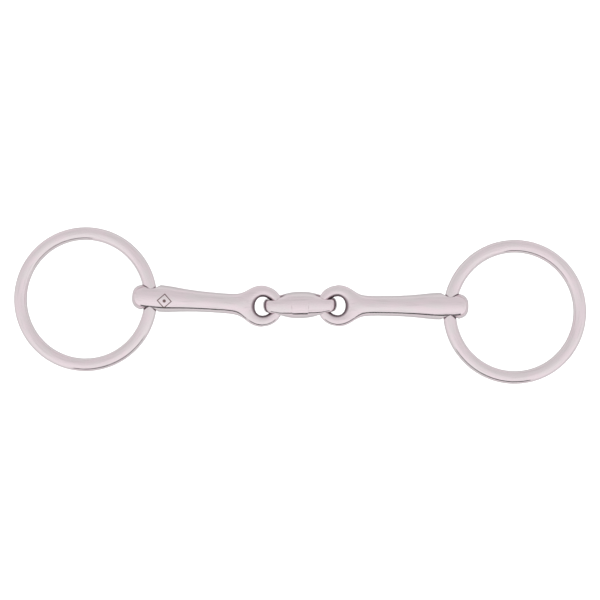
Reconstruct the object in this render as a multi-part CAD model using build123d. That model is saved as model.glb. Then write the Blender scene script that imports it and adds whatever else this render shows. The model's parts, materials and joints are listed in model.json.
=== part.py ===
from build123d import *
import os
from math import asin, degrees

# Loose-ring snaffle bit with a double-jointed mouthpiece: two round rings, two mouthpiece
# arms (the cannons) and a lozenge-shaped link between them.
#
# Millimetres and degrees. +X runs along the lozenge link towards the right ring, +Y lies in
# the plane of the flat bit, +Z is up. The origin is the centre of the lozenge link.

# Rings: round bar bent to a circle and butt-welded
RING_INSIDE_D = 55.0
RING_BAR_D = 6.0
RING_MEAN_R = (RING_INSIDE_D + RING_BAR_D) / 2

# Mouthpiece, measured between the rings when it is pulled straight
MOUTH_WIDTH = 133.0
RING_HOLE_X = (MOUTH_WIDTH + RING_BAR_D) / 2

# Lozenge link
LINK_LENGTH = 34.4
LINK_HEIGHT = 12.8
LINK_EYE_BAR = 3.1          # thickness of the eye's bar, seen along Y
LINK_EYE_WIDTH = 5.9        # width of the same bar along Y
LINK_EYE_R = (LINK_HEIGHT - LINK_EYE_BAR) / 2
LINK_EYE_X = LINK_LENGTH / 2 - LINK_EYE_R - LINK_EYE_BAR / 2
LINK_EYE_LEG = 3.6          # how far the eye's bar runs on into the barrel
LINK_SLOT_D = LINK_HEIGHT - 2 * LINK_EYE_BAR
LINK_SLOT_INNER_X = 10.0    # centre of the slot's inner round end
LINK_SLOT_RIM = 1.6         # rounding of the slot where it leaves the barrel
# Half of the barrel: distance from the middle, width, height, corner radius
BARREL_SECTIONS = [
    (0.0, 12.3, 12.5, 6.0),
    (4.8, 11.6, 12.5, 5.2),
    (7.6, 10.2, 12.3, 4.2),
    (10.5, 9.5, 11.9, 3.6),
]
BARREL_SHOULDER_FILLET = 0.9

# Cannon, along its own axis from the ring hole (0) to the eye
EYE_BAR_D = 5.1
EYE_HOLE_D = 8.6
EYE_R = (EYE_HOLE_D + EYE_BAR_D) / 2
EYE_X = 17.4                # eye centre from the middle of the link
CANNON_LENGTH = RING_HOLE_X - EYE_X
CANNON_TIP = 8.6            # from the ring hole's axis out to the rounded tip
CANNON_TIP_SHOULDER = (-5.2, 5.5)
# Distance inward from the ring hole, and radius there
CANNON_RADII = [(0.0, 6.1), (5.5, 6.2), (14.2, 5.45), (22.6, 4.83), (31.5, 4.62), (37.8, 4.77)]
# Where the round arm flattens into the eye: distance out from the eye, half width, half height
CANNON_FLARE = [
    (14.3, 4.77, 4.77),
    (12.2, 5.0, 4.65),
    (9.9, 5.75, 4.1),
    (7.0, 7.35, 3.1),
    (4.2, 8.8, 2.5),
    (0.0, 9.2, 2.2),
]
RING_HOLE_D = 8.8
RING_HOLE_RIM = 0.8         # rounding of the ring hole's rims

# How the pieces lie at rest on a flat surface, in degrees
FLOOR_Z = -LINK_HEIGHT / 2
LINK_ROLL = 9.0             # the link's turn about X, its top towards -Y
SLACK = {"left": -0.3, "right": -0.65}  # each arm's eye off the link's axis, in millimetres along Y
FOLD = {"left": 5.3, "right": -1.2}     # each arm's turn towards +Y at the link
LEAN = {"left": 5.6, "right": 4.7}      # each ring's turn towards -Y in its hole


def ring():
    """The ring, centred on its own middle in the XY plane."""
    return Torus(RING_MEAN_R, RING_BAR_D / 2)


def rounded_rim_hole(diameter, length, rim):
    """A cutter along Y: a hole whose two rims are rounded outwards, open past both ends."""
    r = diameter / 2
    half = length / 2
    flank = Line((r, 0), (r, half - rim)) + RadiusArc((r, half - rim), (r + rim, half), -rim)
    past = Polyline((r + rim, half), (r + rim, half + rim), (0, half + rim), (0, 0), (r, 0))
    half_hole = revolve(make_face(flank + past), Axis.Y)
    return half_hole + mirror(half_hole, Plane.XZ)


def round_arm():
    """The turned length of the cannon, from the tip to where it starts to flatten."""
    tip = (-CANNON_TIP, 0)
    nose = Spline(tip, CANNON_TIP_SHOULDER, CANNON_RADII[0], tangents=[(0, 1), (1, 0.06)])
    flank = Spline(*CANNON_RADII, tangents=[(1, 0.06), (1, 0.06)])
    end = CANNON_RADII[-1]
    outline = nose + flank + Polyline(end, (end[0], 0), tip)
    return revolve(make_face(outline), Axis.X)


def flare():
    """The neck that widens across Y and thins in Z from the round arm to the eye."""
    sections = [
        Plane.YZ.offset(CANNON_LENGTH - out) * Ellipse(half_width, half_height)
        for out, half_width, half_height in CANNON_FLARE
    ]
    return loft(sections)


def cannon():
    """One arm, with its ring hole at the origin and its eye towards +X."""
    eye_place = Pos(CANNON_LENGTH, 0, 0)
    neck = flare() - eye_place * Cylinder(EYE_R, LINK_HEIGHT)
    arm = round_arm() + neck + eye_place * Torus(EYE_R, EYE_BAR_D / 2)
    hole_length = 2 * CANNON_RADII[0][1]
    return arm - rounded_rim_hole(RING_HOLE_D, hole_length, RING_HOLE_RIM)


def link_barrel():
    """The lozenge's solid middle, rounded at its shoulders."""
    mirrored = [(-x, width, height, corner) for x, width, height, corner in BARREL_SECTIONS[:0:-1]]
    sections = [
        Plane.YZ.offset(x) * RectangleRounded(width, height, corner)
        for x, width, height, corner in mirrored + BARREL_SECTIONS
    ]
    barrel = loft(sections)
    ends = barrel.faces().sort_by(Axis.X)
    return fillet(ends[0].edges() + ends[-1].edges(), BARREL_SHOULDER_FILLET)


def link_eye():
    """The eye at the +X end of the link, in the XZ plane: a half ring on two straight legs."""
    bar = Ellipse(LINK_EYE_BAR / 2, LINK_EYE_WIDTH / 2)
    half_ring = Rot(0, -90, 0) * revolve(Pos(LINK_EYE_R, 0) * bar, Axis.Y, 180)
    eye = Pos(LINK_EYE_X, 0, 0) * half_ring
    for z in (-LINK_EYE_R, LINK_EYE_R):
        leg_end = Plane(origin=(LINK_EYE_X, 0, z), x_dir=(0, 0, 1), z_dir=(-1, 0, 0))
        eye += extrude(leg_end * bar, LINK_EYE_LEG)
    return eye


def lozenge_link():
    """The centre link: a rounded lozenge with an eye at each end."""
    barrel_width = BARREL_SECTIONS[-1][1]
    slot = rounded_rim_hole(LINK_SLOT_D, barrel_width, LINK_SLOT_RIM)
    barrel = link_barrel()
    for side in (-1, 1):
        barrel -= Pos(side * LINK_SLOT_INNER_X, 0, 0) * slot
        barrel -= Pos(side * LINK_EYE_X, 0, 0) * slot
    right_eye = link_eye()
    return barrel + right_eye + mirror(right_eye, Plane.YZ)


def arm_frame(side):
    """Where a right-hand arm's eye lies, for the slack and fold of that side."""
    return Pos(EYE_X, SLACK[side], 0) * Rot(0, 0, FOLD[side])


def placed_cannon(side):
    """A right-hand arm in place, linked and turned as on that side."""
    return arm_frame(side) * Pos(CANNON_LENGTH, 0, 0) * Rot(0, 0, 180) * cannon()


def placed_ring(side):
    """A right-hand ring in place: in its arm's hole, leaning, its far side on the floor."""
    drop = degrees(asin((FLOOR_Z + RING_BAR_D / 2) / (2 * RING_MEAN_R)))
    in_hole = Rot(0, -drop, 0) * Rot(0, 0, -LEAN[side]) * Pos(RING_MEAN_R, 0, 0) * ring()
    return arm_frame(side) * Pos(CANNON_LENGTH, 0, 0) * in_hole


pieces = {
    "lozenge_link": Rot(LINK_ROLL, 0, 0) * lozenge_link(),
    "right_cannon": placed_cannon("right"),
    "right_ring": placed_ring("right"),
    "left_cannon": mirror(placed_cannon("left"), Plane.YZ),
    "left_ring": mirror(placed_ring("left"), Plane.YZ),
}

os.makedirs("parts", exist_ok=True)
for name, solid in pieces.items():
    export_step(solid, f"parts/{name}.step")
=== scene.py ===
"""Loose-ring snaffle bit: polished rings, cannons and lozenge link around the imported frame."""

import json
import math

import bmesh
import bpy
import numpy as np
from mathutils import Matrix, Vector


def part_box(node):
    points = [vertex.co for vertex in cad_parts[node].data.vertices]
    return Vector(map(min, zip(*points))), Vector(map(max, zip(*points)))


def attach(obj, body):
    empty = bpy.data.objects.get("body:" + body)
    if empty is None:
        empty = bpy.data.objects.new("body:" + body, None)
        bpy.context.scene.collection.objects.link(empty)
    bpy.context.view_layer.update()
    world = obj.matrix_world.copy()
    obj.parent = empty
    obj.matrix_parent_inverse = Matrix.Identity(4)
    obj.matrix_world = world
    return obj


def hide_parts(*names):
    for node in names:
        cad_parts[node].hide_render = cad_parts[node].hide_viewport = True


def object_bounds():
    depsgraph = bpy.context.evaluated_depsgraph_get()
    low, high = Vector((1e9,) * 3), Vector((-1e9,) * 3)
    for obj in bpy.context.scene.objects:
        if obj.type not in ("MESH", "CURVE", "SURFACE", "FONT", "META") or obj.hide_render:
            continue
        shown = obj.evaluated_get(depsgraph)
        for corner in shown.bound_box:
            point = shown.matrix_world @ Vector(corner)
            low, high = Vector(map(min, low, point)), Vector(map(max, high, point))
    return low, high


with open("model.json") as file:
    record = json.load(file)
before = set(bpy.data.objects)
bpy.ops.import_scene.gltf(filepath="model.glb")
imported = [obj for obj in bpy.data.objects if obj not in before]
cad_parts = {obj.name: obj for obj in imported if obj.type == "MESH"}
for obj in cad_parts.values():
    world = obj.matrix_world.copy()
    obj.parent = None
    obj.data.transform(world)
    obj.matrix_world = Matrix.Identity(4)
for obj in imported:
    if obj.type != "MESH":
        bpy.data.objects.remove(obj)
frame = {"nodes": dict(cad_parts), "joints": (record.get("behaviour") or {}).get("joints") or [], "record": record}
cad_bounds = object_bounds()
joints = {joint["name"]: joint for joint in frame["joints"]}
mounts = {mount["name"]: mount for mount in frame["record"]["mounts"]}

MM = 0.001

# ---------------------------------------------------------------- shapes as distance fields

MESH_STEP = 0.4             # mm between mesh points
SETTLE_ROUNDS = 6
BORE_SHADE_DEPTH = 0.8          # mm into a bore at which its wall is fully darkened by painted shade


def smooth_union(a, b, k):
    """The nearer of two distances, with a rounded fillet about k wide between them."""
    h = np.clip(0.5 + 0.5 * (b - a) / k, 0, 1)
    return b + (a - b) * h - k * h * (1 - h)


def smooth_cut(a, b, k):
    """What is in a and outside b, with the edge between them rounded over about k."""
    return -smooth_union(-a, b, k)


def oval(u, v, half_u, half_v, power=2.0):
    """Roughly the distance to an oval outline; a power above 2 squares its corners."""
    size = (np.abs(u / half_u) ** power + np.abs(v / half_v) ** power) ** (1 / power)
    return (size - 1) * np.minimum(half_u, half_v)


def smooth_curve(stations, values):
    """A natural cubic spline through the values, as a function; level past both ends."""
    x, y = np.array(stations, float), np.array(values, float)
    gap = np.diff(x)
    slope = np.diff(y) / gap
    n = len(x)
    system, right = np.eye(n), np.zeros(n)
    for i in range(1, n - 1):
        system[i, i - 1 : i + 2] = gap[i - 1], 2 * (gap[i - 1] + gap[i]), gap[i]
        right[i] = 6 * (slope[i] - slope[i - 1])
    bend = np.linalg.solve(system, right)

    def curve(at):
        at = np.clip(at, x[0], x[-1])
        i = np.clip(np.searchsorted(x, at) - 1, 0, n - 2)
        t = at - x[i]
        first = slope[i] - gap[i] * (2 * bend[i] + bend[i + 1]) / 6
        return y[i] + t * (first + t * (bend[i] / 2 + t * (bend[i + 1] - bend[i]) / (6 * gap[i])))

    return curve


def gradient(field, points, reach=0.02):
    """The field's slope at each point, by central differences."""
    slope = np.empty_like(points)
    for k in range(3):
        step = np.zeros(3)
        step[k] = reach
        slope[:, k] = (field(*(points + step).T) - field(*(points - step).T)) / (2 * reach)
    return slope


def settle(field, points, rounds=2):
    """Moves the points onto the surface where the field is zero."""
    for _ in range(rounds):
        slope = gradient(field, points)
        steep = np.maximum((slope**2).sum(1, keepdims=True), 0.05)
        points = points - field(*points.T)[:, None] * slope / steep
    return points


def net_surface(field, low, high, step=MESH_STEP):
    """A closed mesh of quads on the field's zero surface: its points and its faces."""
    axes = [np.arange(a - step, b + 2 * step, step) for a, b in zip(low, high)]
    inside = field(*np.meshgrid(*axes, indexing="ij")) < 0
    shape = tuple(n - 1 for n in inside.shape)
    corners = [
        inside[i : i + shape[0], j : j + shape[1], k : k + shape[2]]
        for i in (0, 1) for j in (0, 1) for k in (0, 1)
    ]
    filled = sum(corner.astype(np.int8) for corner in corners)
    cells = np.argwhere((filled > 0) & (filled < 8))
    number = np.full(shape, -1)
    number[tuple(cells.T)] = np.arange(len(cells))
    points = np.array([axis[0] for axis in axes]) + (cells + 0.5) * step

    faces = []
    for k in range(3):
        u, v = (k + 1) % 3, (k + 2) % 3
        here = inside[tuple(slice(1, -1) if m != k else slice(0, -1) for m in range(3))]
        there = inside[tuple(slice(1, -1) if m != k else slice(1, None) for m in range(3))]
        for first, second in ((here & ~there, (u, v)), (~here & there, (v, u))):
            at = np.argwhere(first)
            at[:, u] += 1
            at[:, v] += 1
            ring = []
            for du, dv in ((-1, -1), (0, -1), (0, 0), (-1, 0)):
                cell = at.copy()
                cell[:, second[0]] += du
                cell[:, second[1]] += dv
                ring.append(number[tuple(cell.T)])
            faces.append(np.stack(ring, axis=1))
    faces = np.concatenate(faces)

    edges = np.concatenate([faces[:, [i, (i + 1) % 4]] for i in range(4)])
    count = np.bincount(edges[:, 0], minlength=len(points))[:, None]
    for _ in range(SETTLE_ROUNDS):
        points = settle(field, points, 1)
        mean = np.zeros_like(points)
        np.add.at(mean, edges[:, 0], points[edges[:, 1]])
        points = 0.4 * points + 0.6 * mean / count
    return settle(field, points, 4), faces


def mesh_object(name, points, faces, normals, place, grain, bore_shade):
    """A smooth mesh object from points in millimetres, put where place says.

    grain is each point's place for the polish, which runs along its first number, and the last
    argument says from 0 to 1 how far the point lies in a bore, where painted shade darkens it.
    """
    mesh = bpy.data.meshes.new(name)
    world = np.array(place)
    moved = points * MM @ world[:3, :3].T + world[:3, 3]
    mesh.from_pydata(moved.tolist(), [], faces.tolist())
    mesh.shade_smooth()
    turned = normals @ world[:3, :3].T
    mesh.normals_split_custom_set_from_vertices(turned.tolist())
    mesh.attributes.new("grain", "FLOAT_VECTOR", "POINT").data.foreach_set("vector", grain.ravel())
    mesh.attributes.new("bore_shade", "FLOAT", "POINT").data.foreach_set("value", bore_shade)
    piece = bpy.data.objects.new(name, mesh)
    bpy.context.scene.collection.objects.link(piece)
    return piece


def field_object(name, field, low, high, place, depth):
    """The field's surface as a mesh object, with the field's own normals.

    depth(x, y, z) is how far a point lies inside the piece's bores, in millimetres, which sets how much painted
    shade darkens it.
    """
    points, faces = net_surface(field, low, high)
    slope = gradient(field, points)
    normals = slope / np.linalg.norm(slope, axis=1, keepdims=True)
    # Painted shade: how far the colour is darkened in the bores, from 0 to 1.
    bore_shade = np.clip(depth(*points.T) / BORE_SHADE_DEPTH, 0, 1)
    return mesh_object(name, points, faces, normals, place, points, bore_shade)


def stand_in(piece, name):
    """Makes the piece move with the frame's body of that name and show instead of it."""
    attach(piece, name)
    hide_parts(name)
    return piece


# ---------------------------------------------------------------- the cannons

CANNON_TIP = 8.6            # from the ring hole's axis out to the tip
CANNON_TIP_POWER = 2.9      # above 2, it blunts the tip
CANNON_REACH = (10.0, 7.0)  # room for the cannon on each side of its axis, along Y and Z
EYE_RING_R = 6.85           # middle of the eye's bar
EYE_BAR_R = 2.55
EYE_HOLE_R = EYE_RING_R - EYE_BAR_R
EYE_WEB = 0.6               # how far the neck's web fills the eye's hole on the arm's side
WEB_EDGE_R = 7.5            # how the web's edge curves
EYE_RIM = 1.5
EYE_SHADE_MARGIN = 1.45             # how far outside the eye's hole the painted shade on its rim starts
RING_HOLE_R = 4.1
RING_HOLE_RIM = 0.3
# How far outside the ring hole the painted shade on its wall starts.
RING_HOLE_SHADE_MARGIN = 0.6
NECK_FILLET = 1.1
# Distance inward from the ring hole, half width and half height of the arm
ARM_STATIONS = [
    (0.0, 6.1, 6.1),
    (5.5, 6.2, 6.2),
    (14.2, 5.45, 5.45),
    (22.6, 4.83, 4.83),
    (31.5, 4.62, 4.62),
    (37.8, 4.7, 4.7),
    (42.2, 5.6, 4.1),
    (45.1, 7.2, 3.1),
    (47.9, 8.2, 2.4),
    (52.1, 8.2, 2.1),
]


def cannon_field(length):
    """A cannon with its ring hole at the origin and its eye's centre at x = length."""
    stations, widths, heights = zip(*ARM_STATIONS)
    half_width = smooth_curve(stations, widths)
    half_height = smooth_curve(stations, heights)

    def field(x, y, z):
        arm = oval(y, z, half_width(x), half_height(x))
        around = np.hypot(y, z)
        nose = oval(np.minimum(x, 0), around, CANNON_TIP, half_width(0), CANNON_TIP_POWER)
        arm = np.where(x < 0, nose, arm)
        arm = np.maximum(arm, x - length)
        web_middle = length - EYE_HOLE_R + EYE_WEB + WEB_EDGE_R
        web_edge = np.hypot(x - web_middle, y) - WEB_EDGE_R
        arm = smooth_cut(arm, web_edge, EYE_RIM)
        eye = np.hypot(np.hypot(x - length, y) - EYE_RING_R, z) - EYE_BAR_R
        whole = smooth_union(arm, eye, NECK_FILLET)
        return smooth_cut(whole, np.hypot(x, z) - RING_HOLE_R, RING_HOLE_RIM)

    return field


def cannon_bore_depth(length):
    """How far a point lies in the cannon's ring hole or its eye, in millimetres, from a little outside their rims;
    it sets the painted shade on their walls.
    """

    def depth(x, y, z):
        in_ring_hole = RING_HOLE_R + RING_HOLE_SHADE_MARGIN - np.hypot(x, z)
        in_eye = EYE_HOLE_R + EYE_SHADE_MARGIN - np.hypot(x - length - EYE_WEB / 2, y)
        return np.maximum(in_ring_hole, in_eye)

    return depth


def make_cannon(side):
    """One cannon, between its ring hole and its eye as the frame's joints place them."""
    hole = Vector(joints[f"{side}_ring_swing"]["pos_m"])
    eye = Vector(joints[f"{side}_cannon_fold"]["pos_m"])
    inward = (eye - hole).normalized()
    up = Vector((0, 0, 1))
    place = Matrix((inward, up.cross(inward), up)).transposed().to_4x4()
    place.translation = hole
    length = (eye - hole).length / MM
    low = (-CANNON_TIP, -CANNON_REACH[0], -CANNON_REACH[1])
    high = (length + CANNON_REACH[0], *CANNON_REACH)
    name = f"{side}_cannon"
    depth = cannon_bore_depth(length)
    piece = field_object(f"{name}_polished", cannon_field(length), low, high, place, depth)
    return stand_in(piece, name)


# ---------------------------------------------------------------- the lozenge link

LINK_ROLL = math.radians(9.0)   # the link's turn about X, as it lies in the frame
LINK_EYE_X = 10.8
LINK_EYE_R = 4.85
LINK_BAR = (1.55, 2.95)     # half thickness and half width of the eye's bar
LINK_SLOT_R = 3.3
LINK_SLOT_INNER_X = 10.0
LINK_SLOT_RIM = 0.9
# How far outside the link's slots the painted shade on their walls starts.
LINK_SLOT_SHADE_MARGIN = 0.4
LINK_BARREL_END = 10.7
LINK_SHOULDER = 1.6         # rounding of the barrel's ends
LINK_LEG_START = 4.0        # how deep in the barrel the legs of the eyes begin
LINK_FILLET = 0.9
# Distance from the middle, half width and half height of the barrel, and its squareness
BARREL_STATIONS = [
    (0.0, 6.12, 6.25, 2.0),
    (2.4, 6.05, 6.2, 2.05),
    (4.8, 5.75, 6.05, 2.2),
    (7.6, 5.1, 5.85, 2.6),
    (10.7, 4.7, 5.6, 2.8),
]


def from_slot(x, z):
    """The distance to the middle of the slot on the +X side, from its inner to its outer end."""
    return np.hypot(x - np.clip(x, LINK_SLOT_INNER_X, LINK_EYE_X), z)


def link_field():
    """The lozenge link about its own centre, long in x, its eyes' slots along y."""
    stations, widths, heights, powers = zip(*BARREL_STATIONS)
    half_width = smooth_curve(stations, widths)
    half_height = smooth_curve(stations, heights)
    power = smooth_curve(stations, powers)

    def field(x, y, z):
        x = np.abs(x)
        barrel = oval(y, z, half_width(x), half_height(x), power(x))
        barrel = smooth_cut(barrel, LINK_BARREL_END - x, LINK_SHOULDER)
        bend = np.hypot(np.maximum(x - LINK_EYE_X, 0), z) - LINK_EYE_R
        bar = oval(bend, y, *LINK_BAR)
        bar = np.maximum(bar, LINK_LEG_START - x)
        whole = smooth_union(barrel, bar, LINK_FILLET)
        return smooth_cut(whole, from_slot(x, z) - LINK_SLOT_R, LINK_SLOT_RIM)

    return field


def link_bore_depth(x, y, z):
    """How far a point lies in one of the link's slots, in millimetres, from a little outside its rim; it sets the
    painted shade on the slot's walls.
    """
    return LINK_SLOT_R + LINK_SLOT_SHADE_MARGIN - from_slot(np.abs(x), z)


def make_link():
    """The lozenge link, in the middle of the frame's link and rolled as that is."""
    name = "lozenge_link"
    low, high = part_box(name)
    half = (high - low) / 2 / MM
    place = Matrix.Translation((low + high) / 2) @ Matrix.Rotation(LINK_ROLL, 4, "X")
    piece = field_object(f"{name}_polished", link_field(), -half, half, place, link_bore_depth)
    return stand_in(piece, name)


# ---------------------------------------------------------------- the rings

RING_STEPS = 288
BAR_STEPS = 40


def make_ring(side):
    """A ring of round bar, centred and tilted as the frame's ring is."""
    name = f"{side}_ring"
    low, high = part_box(name)
    centre = (low + high) / 2
    hole = Vector(joints[f"{name}_swing"]["pos_m"])
    spots = np.array([v.co for v in frame["nodes"][name].data.vertices]) - np.array(centre)
    normal = Vector(np.linalg.svd(spots, full_matrices=False)[2][2])
    if normal.z < 0:
        normal.negate()
    across = (hole - centre).normalized()
    place = Matrix((across, normal.cross(across), normal)).transposed().to_4x4()
    place.translation = centre

    ring_r = (hole - centre).length / MM
    bar_r = mounts[f"{side}_rein_and_cheekpiece"]["dims"]["r_mm"]
    turn = np.arange(RING_STEPS) * 2 * math.pi / RING_STEPS
    round_bar = np.arange(BAR_STEPS) * 2 * math.pi / BAR_STEPS
    turn, round_bar = (a.ravel() for a in np.meshgrid(turn, round_bar, indexing="ij"))
    normals = np.stack(
        [np.cos(round_bar) * np.cos(turn), np.cos(round_bar) * np.sin(turn), np.sin(round_bar)],
        axis=1,
    )
    middle = np.stack([np.cos(turn), np.sin(turn), np.zeros_like(turn)], axis=1) * ring_r
    points = middle + normals * bar_r
    here = np.arange(RING_STEPS * BAR_STEPS).reshape(RING_STEPS, BAR_STEPS)
    onward = np.roll(here, -1, axis=0)
    corners = [here, onward, np.roll(onward, -1, axis=1), np.roll(here, -1, axis=1)]
    faces = np.stack([corner.ravel() for corner in corners], axis=1)
    grain = np.stack([turn * ring_r, normals[:, 2] * bar_r, np.cos(round_bar) * bar_r], axis=1)
    bore_shade = np.zeros(len(points))
    piece = mesh_object(f"{name}_polished", points, faces, normals, place, grain, bore_shade)
    return stand_in(piece, name)


# ---------------------------------------------------------------- material

ROSY = (0.86, 0.745, 0.785, 1)
SILVERY = (0.83, 0.755, 0.775, 1)
STREAKED = (0.77, 0.675, 0.705, 1)
# Painted shade: the dark colour that the walls of the bores are given.
BORE_SHADE_COLOUR = (0.25, 0.19, 0.215, 1)
ETCHED = (0.20, 0.13, 0.13, 1)
MARK_PLACE = (6.8, -1.0)    # mm inward from the ring hole's axis, and to the side
MARK_HALF = 3.2             # mm from the mark's centre to its corners
MARK_LINE = 0.27            # half of its line's width
MARK_DOT = 0.75
WAVE_HEIGHT = 0.035         # mm of waviness left by the polishing wheel


class Nodes:
    """A new material's node tree, with short ways to add and link nodes."""

    def __init__(self, name):
        self.material = bpy.data.materials.new(name)
        self.material.use_nodes = True
        self.tree = self.material.node_tree
        self.shader = self.tree.nodes["Principled BSDF"]

    def add(self, kind, **settings):
        node = self.tree.nodes.new(f"ShaderNode{kind}")
        for key, value in settings.items():
            setattr(node, key, value)
        return node

    def feed(self, socket, value):
        """Links an output to the socket, or sets the socket to a plain value."""
        if isinstance(value, bpy.types.NodeSocket):
            self.tree.links.new(value, socket)
        else:
            socket.default_value = value

    def attribute(self, name):
        return self.add("Attribute", attribute_name=name)

    def math(self, operation, a, b=0.0, c=0.0):
        node = self.add("Math", operation=operation)
        for socket, value in zip(node.inputs, (a, b, c)):
            self.feed(socket, value)
        return node.outputs[0]

    def scaled(self, vector, scale):
        node = self.add("VectorMath", operation="MULTIPLY")
        self.feed(node.inputs[0], vector)
        self.feed(node.inputs[1], scale)
        return node.outputs[0]

    def noise(self, vector, scale, detail=2.0):
        """Noise about the place in millimetres; scale is in features per millimetre."""
        node = self.add("TexNoise")
        self.feed(node.inputs["Vector"], self.scaled(vector, scale))
        self.feed(node.inputs["Scale"], 1.0)
        self.feed(node.inputs["Detail"], detail)
        return node.outputs["Fac"]

    def spread(self, value, low, high, to_low=0.0, to_high=1.0):
        """Maps low..high smoothly to to_low..to_high."""
        node = self.add("MapRange", interpolation_type="SMOOTHSTEP")
        for socket, number in zip(node.inputs, (value, low, high, to_low, to_high)):
            self.feed(socket, number)
        return node.outputs[0]

    def mix(self, amount, a, b):
        node = self.add("Mix", data_type="RGBA")
        self.feed(node.inputs["Factor"], amount)
        self.feed(node.inputs[6], a)
        self.feed(node.inputs[7], b)
        return node.outputs[2]


def etched_mark(nodes, grain):
    """How much of the generic mark, a rhombus with a dot in it, covers each place."""
    parts = nodes.add("SeparateXYZ")
    nodes.feed(parts.inputs[0], grain)
    along = nodes.math("SUBTRACT", parts.outputs["X"], MARK_PLACE[0])
    across = nodes.math("SUBTRACT", parts.outputs["Y"], MARK_PLACE[1])
    size = nodes.math("ADD", nodes.math("ABSOLUTE", along), nodes.math("ABSOLUTE", across))
    from_line = nodes.math("ABSOLUTE", nodes.math("SUBTRACT", size, MARK_HALF))
    line = nodes.spread(from_line, MARK_LINE * 0.6, MARK_LINE * 1.6, 1, 0)
    squared = nodes.math("ADD", nodes.math("POWER", along, 2), nodes.math("POWER", across, 2))
    dot = nodes.spread(nodes.math("SQRT", squared), MARK_DOT * 0.8, MARK_DOT * 1.2, 1, 0)
    on_top = nodes.math("GREATER_THAN", parts.outputs["Z"], 0)
    return nodes.math("MULTIPLY", nodes.math("MAXIMUM", line, dot), on_top)


def polished_steel(name, marked=False):
    """Hand-polished steel: cloudy tint, streaks along the grain, rougher bores darkened with painted shade, soft
    waviness.
    """
    nodes = Nodes(name)
    grain = nodes.attribute("grain").outputs["Vector"]
    bore_shade = nodes.attribute("bore_shade").outputs["Fac"]
    clouds = nodes.noise(grain, (0.10, 0.22, 0.22), 3.0)
    streaks = nodes.noise(grain, (0.07, 1.1, 1.1), 3.0)
    scratches = nodes.noise(grain, (0.35, 9.0, 9.0), 1.0)
    waves = nodes.noise(grain, (0.06, 0.30, 0.30), 1.0)

    colour = nodes.mix(nodes.spread(clouds, 0.38, 0.62), ROSY, SILVERY)
    colour = nodes.mix(nodes.spread(streaks, 0.5, 0.78, 0, 0.8), colour, STREAKED)
    # Painted shade: the colour turns dark deep in the bores.
    colour = nodes.mix(bore_shade, colour, BORE_SHADE_COLOUR)
    rough = nodes.spread(streaks, 0.3, 0.75, 0.09, 0.17)
    rough = nodes.math("ADD", rough, nodes.spread(scratches, 0.45, 0.8, 0, 0.06))
    rough = nodes.math("ADD", rough, nodes.math("MULTIPLY", bore_shade, 0.2))
    height = nodes.math("ADD", waves, nodes.math("MULTIPLY", scratches, 0.012))
    if marked:
        mark = etched_mark(nodes, grain)
        colour = nodes.mix(mark, colour, ETCHED)
        rough = nodes.math("ADD", rough, nodes.math("MULTIPLY", mark, 0.25))
        height = nodes.math("SUBTRACT", height, nodes.math("MULTIPLY", mark, 0.3))
    bump = nodes.add("Bump")
    nodes.feed(bump.inputs["Height"], height)
    nodes.feed(bump.inputs["Strength"], 1.0)
    nodes.feed(bump.inputs["Distance"], WAVE_HEIGHT * MM)

    shader = nodes.shader
    nodes.feed(shader.inputs["Base Color"], colour)
    nodes.feed(shader.inputs["Metallic"], 1.0)
    nodes.feed(shader.inputs["Roughness"], rough)
    nodes.feed(shader.inputs["Normal"], bump.outputs[0])
    return nodes.material


# ---------------------------------------------------------------- studio

FLOOR_DROP = 45 * MM        # room under the bit for its rings to swing down
FLOOR_HALF = 6.0
FLOOR_GREY = 0.9
STUDIO_R = 8.0
TENT_BELOW = (0.58, 0.84)   # light from straight below, and from just under the horizon
TENT_RISE = (-1.0, -0.05)
TENT_ABOVE = (0.95, 0.74)   # light from the front (-Y), and from the back
TENT_EDGE = (-0.75, 0.75)
TENT_HORIZON = (-0.02, 0.02)
OPENING = (-0.20, 0.17, -0.004, 0.054)   # y, half width, low edge and high edge
OPENING_LIGHT = 0.05
SOFTBOX_SIZE = 3.0
SOFTBOX_HEIGHT = 2.5
SOFTBOX_WATTS = 60.0
CAMERA_AIM = (0, 0.0023)
CAMERA_ROLL = math.radians(-0.95)
CAMERA_DISTANCE = 0.9
VIEW_WIDTH = 0.2785         # what the camera takes in at the bit
SENSOR_WIDTH = 36


def white_world():
    """Even white light from everywhere outside the tent."""
    world = bpy.data.worlds.new("studio")
    world.use_nodes = True
    background = world.node_tree.nodes["Background"]
    background.inputs["Color"].default_value = (1, 1, 1, 1)
    background.inputs["Strength"].default_value = 1.0
    bpy.context.scene.world = world


def stage_mesh(name, points, faces):
    """Part of the studio, which isn't part of the object."""
    mesh = bpy.data.meshes.new(name)
    mesh.from_pydata(points, [], faces)
    obj = bpy.data.objects.new(name, mesh)
    bpy.context.scene.collection.objects.link(obj)
    return obj


def only_reflected(obj):
    """Leaves the card to be seen in reflections alone."""
    obj.visible_camera = False
    obj.visible_diffuse = False
    obj.visible_shadow = False
    obj.visible_transmission = False


def glow(obj):
    """Gives the object a material that only gives off light; returns its nodes and its light."""
    nodes = Nodes(f"{obj.name}_light")
    nodes.tree.nodes.remove(nodes.shader)
    light = nodes.add("Emission")
    nodes.feed(nodes.tree.nodes["Material Output"].inputs["Surface"], light.outputs[0])
    obj.data.materials.append(nodes.material)
    return nodes, light


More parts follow.
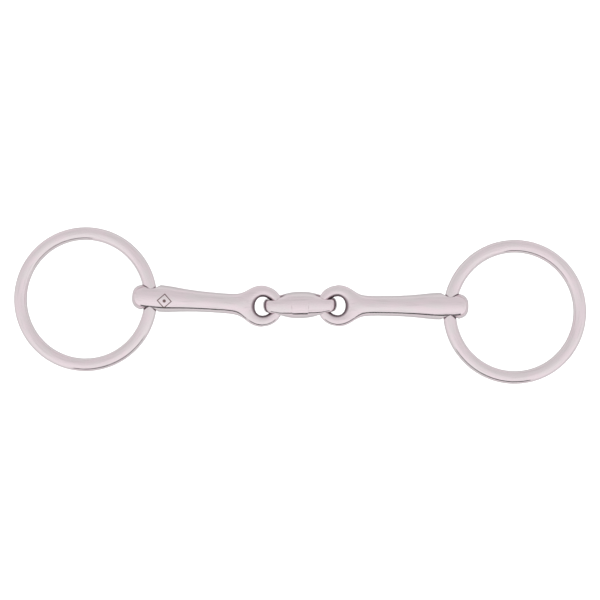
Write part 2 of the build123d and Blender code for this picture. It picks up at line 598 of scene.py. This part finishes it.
def make_tent():
    """The light tent around the bit: brightest above and in front, greyer behind and below."""
    ball = bmesh.new()
    bmesh.ops.create_uvsphere(ball, u_segments=48, v_segments=24, radius=STUDIO_R)
    tent = stage_mesh("card_tent", [], [])
    ball.to_mesh(tent.data)
    ball.free()
    only_reflected(tent)
    nodes, light = glow(tent)
    place = nodes.add("TexCoord").outputs["Object"]
    parts = nodes.add("SeparateXYZ")
    nodes.feed(parts.inputs[0], nodes.scaled(place, (1 / STUDIO_R,) * 3))
    up, back = parts.outputs["Z"], parts.outputs["Y"]
    below = nodes.spread(up, *TENT_RISE, *TENT_BELOW)
    above = nodes.spread(back, *TENT_EDGE, *TENT_ABOVE)
    is_up = nodes.spread(up, *TENT_HORIZON)
    is_down = nodes.math("SUBTRACT", 1.0, is_up)
    from_above = nodes.math("MULTIPLY", above, is_up)
    from_below = nodes.math("MULTIPLY", below, is_down)
    nodes.feed(light.inputs["Strength"], nodes.math("ADD", from_above, from_below))


def make_opening():
    """The tent's dark front opening, which shows low on the arms, the link and the rings."""
    front, half, low, high = OPENING
    corners = [(-half, front, low), (half, front, low), (half, front, high), (-half, front, high)]
    card = stage_mesh("card_opening", corners, [(0, 1, 2, 3)])
    only_reflected(card)
    nodes, light = glow(card)
    nodes.feed(light.inputs["Strength"], OPENING_LIGHT)


def make_floor():
    """Pale paper, left out of the steel's reflections, where the tent stands in for it."""
    half, z = FLOOR_HALF, cad_bounds[0][2] - FLOOR_DROP
    corners = [(-half, -half, z), (half, -half, z), (half, half, z), (-half, half, z)]
    floor = stage_mesh("floor", corners, [(0, 1, 2, 3)])
    floor.visible_glossy = False
    nodes = Nodes("floor_paper")
    nodes.feed(nodes.shader.inputs["Base Color"], (FLOOR_GREY, FLOOR_GREY, FLOOR_GREY, 1))
    nodes.feed(nodes.shader.inputs["Roughness"], 1.0)
    nodes.feed(nodes.shader.inputs["Specular IOR Level"], 0.0)
    floor.data.materials.append(nodes.material)


def make_softbox():
    """A large soft light overhead that keeps the floor white and isn't seen in the steel."""
    light = bpy.data.lights.new("softbox", "AREA")
    light.shape = "DISK"
    light.size = SOFTBOX_SIZE
    light.energy = SOFTBOX_WATTS
    holder = bpy.data.objects.new("softbox", light)
    bpy.context.scene.collection.objects.link(holder)
    holder.location = (0, 0, SOFTBOX_HEIGHT)
    holder.visible_glossy = False
    holder.visible_camera = False


def make_camera():
    """Straight above the bit, looking down, and turned a little about its own axis."""
    camera = bpy.data.cameras.new("camera")
    camera.sensor_width = SENSOR_WIDTH
    camera.lens = SENSOR_WIDTH * CAMERA_DISTANCE / VIEW_WIDTH
    holder = bpy.data.objects.new("camera", camera)
    bpy.context.scene.collection.objects.link(holder)
    place = Matrix.Translation((*CAMERA_AIM, CAMERA_DISTANCE))
    holder.matrix_world = place @ Matrix.Rotation(CAMERA_ROLL, 4, "Z")
    bpy.context.scene.camera = holder


steel = polished_steel("polished_steel")
marked_steel = polished_steel("polished_steel_marked", marked=True)
make_link().data.materials.append(steel)
for side in ("left", "right"):
    make_cannon(side).data.materials.append(marked_steel if side == "left" else steel)
    make_ring(side).data.materials.append(steel)

white_world()
make_camera()
make_tent()
make_opening()
make_floor()
make_softbox()
bpy.context.scene.view_settings.view_transform = "Standard"
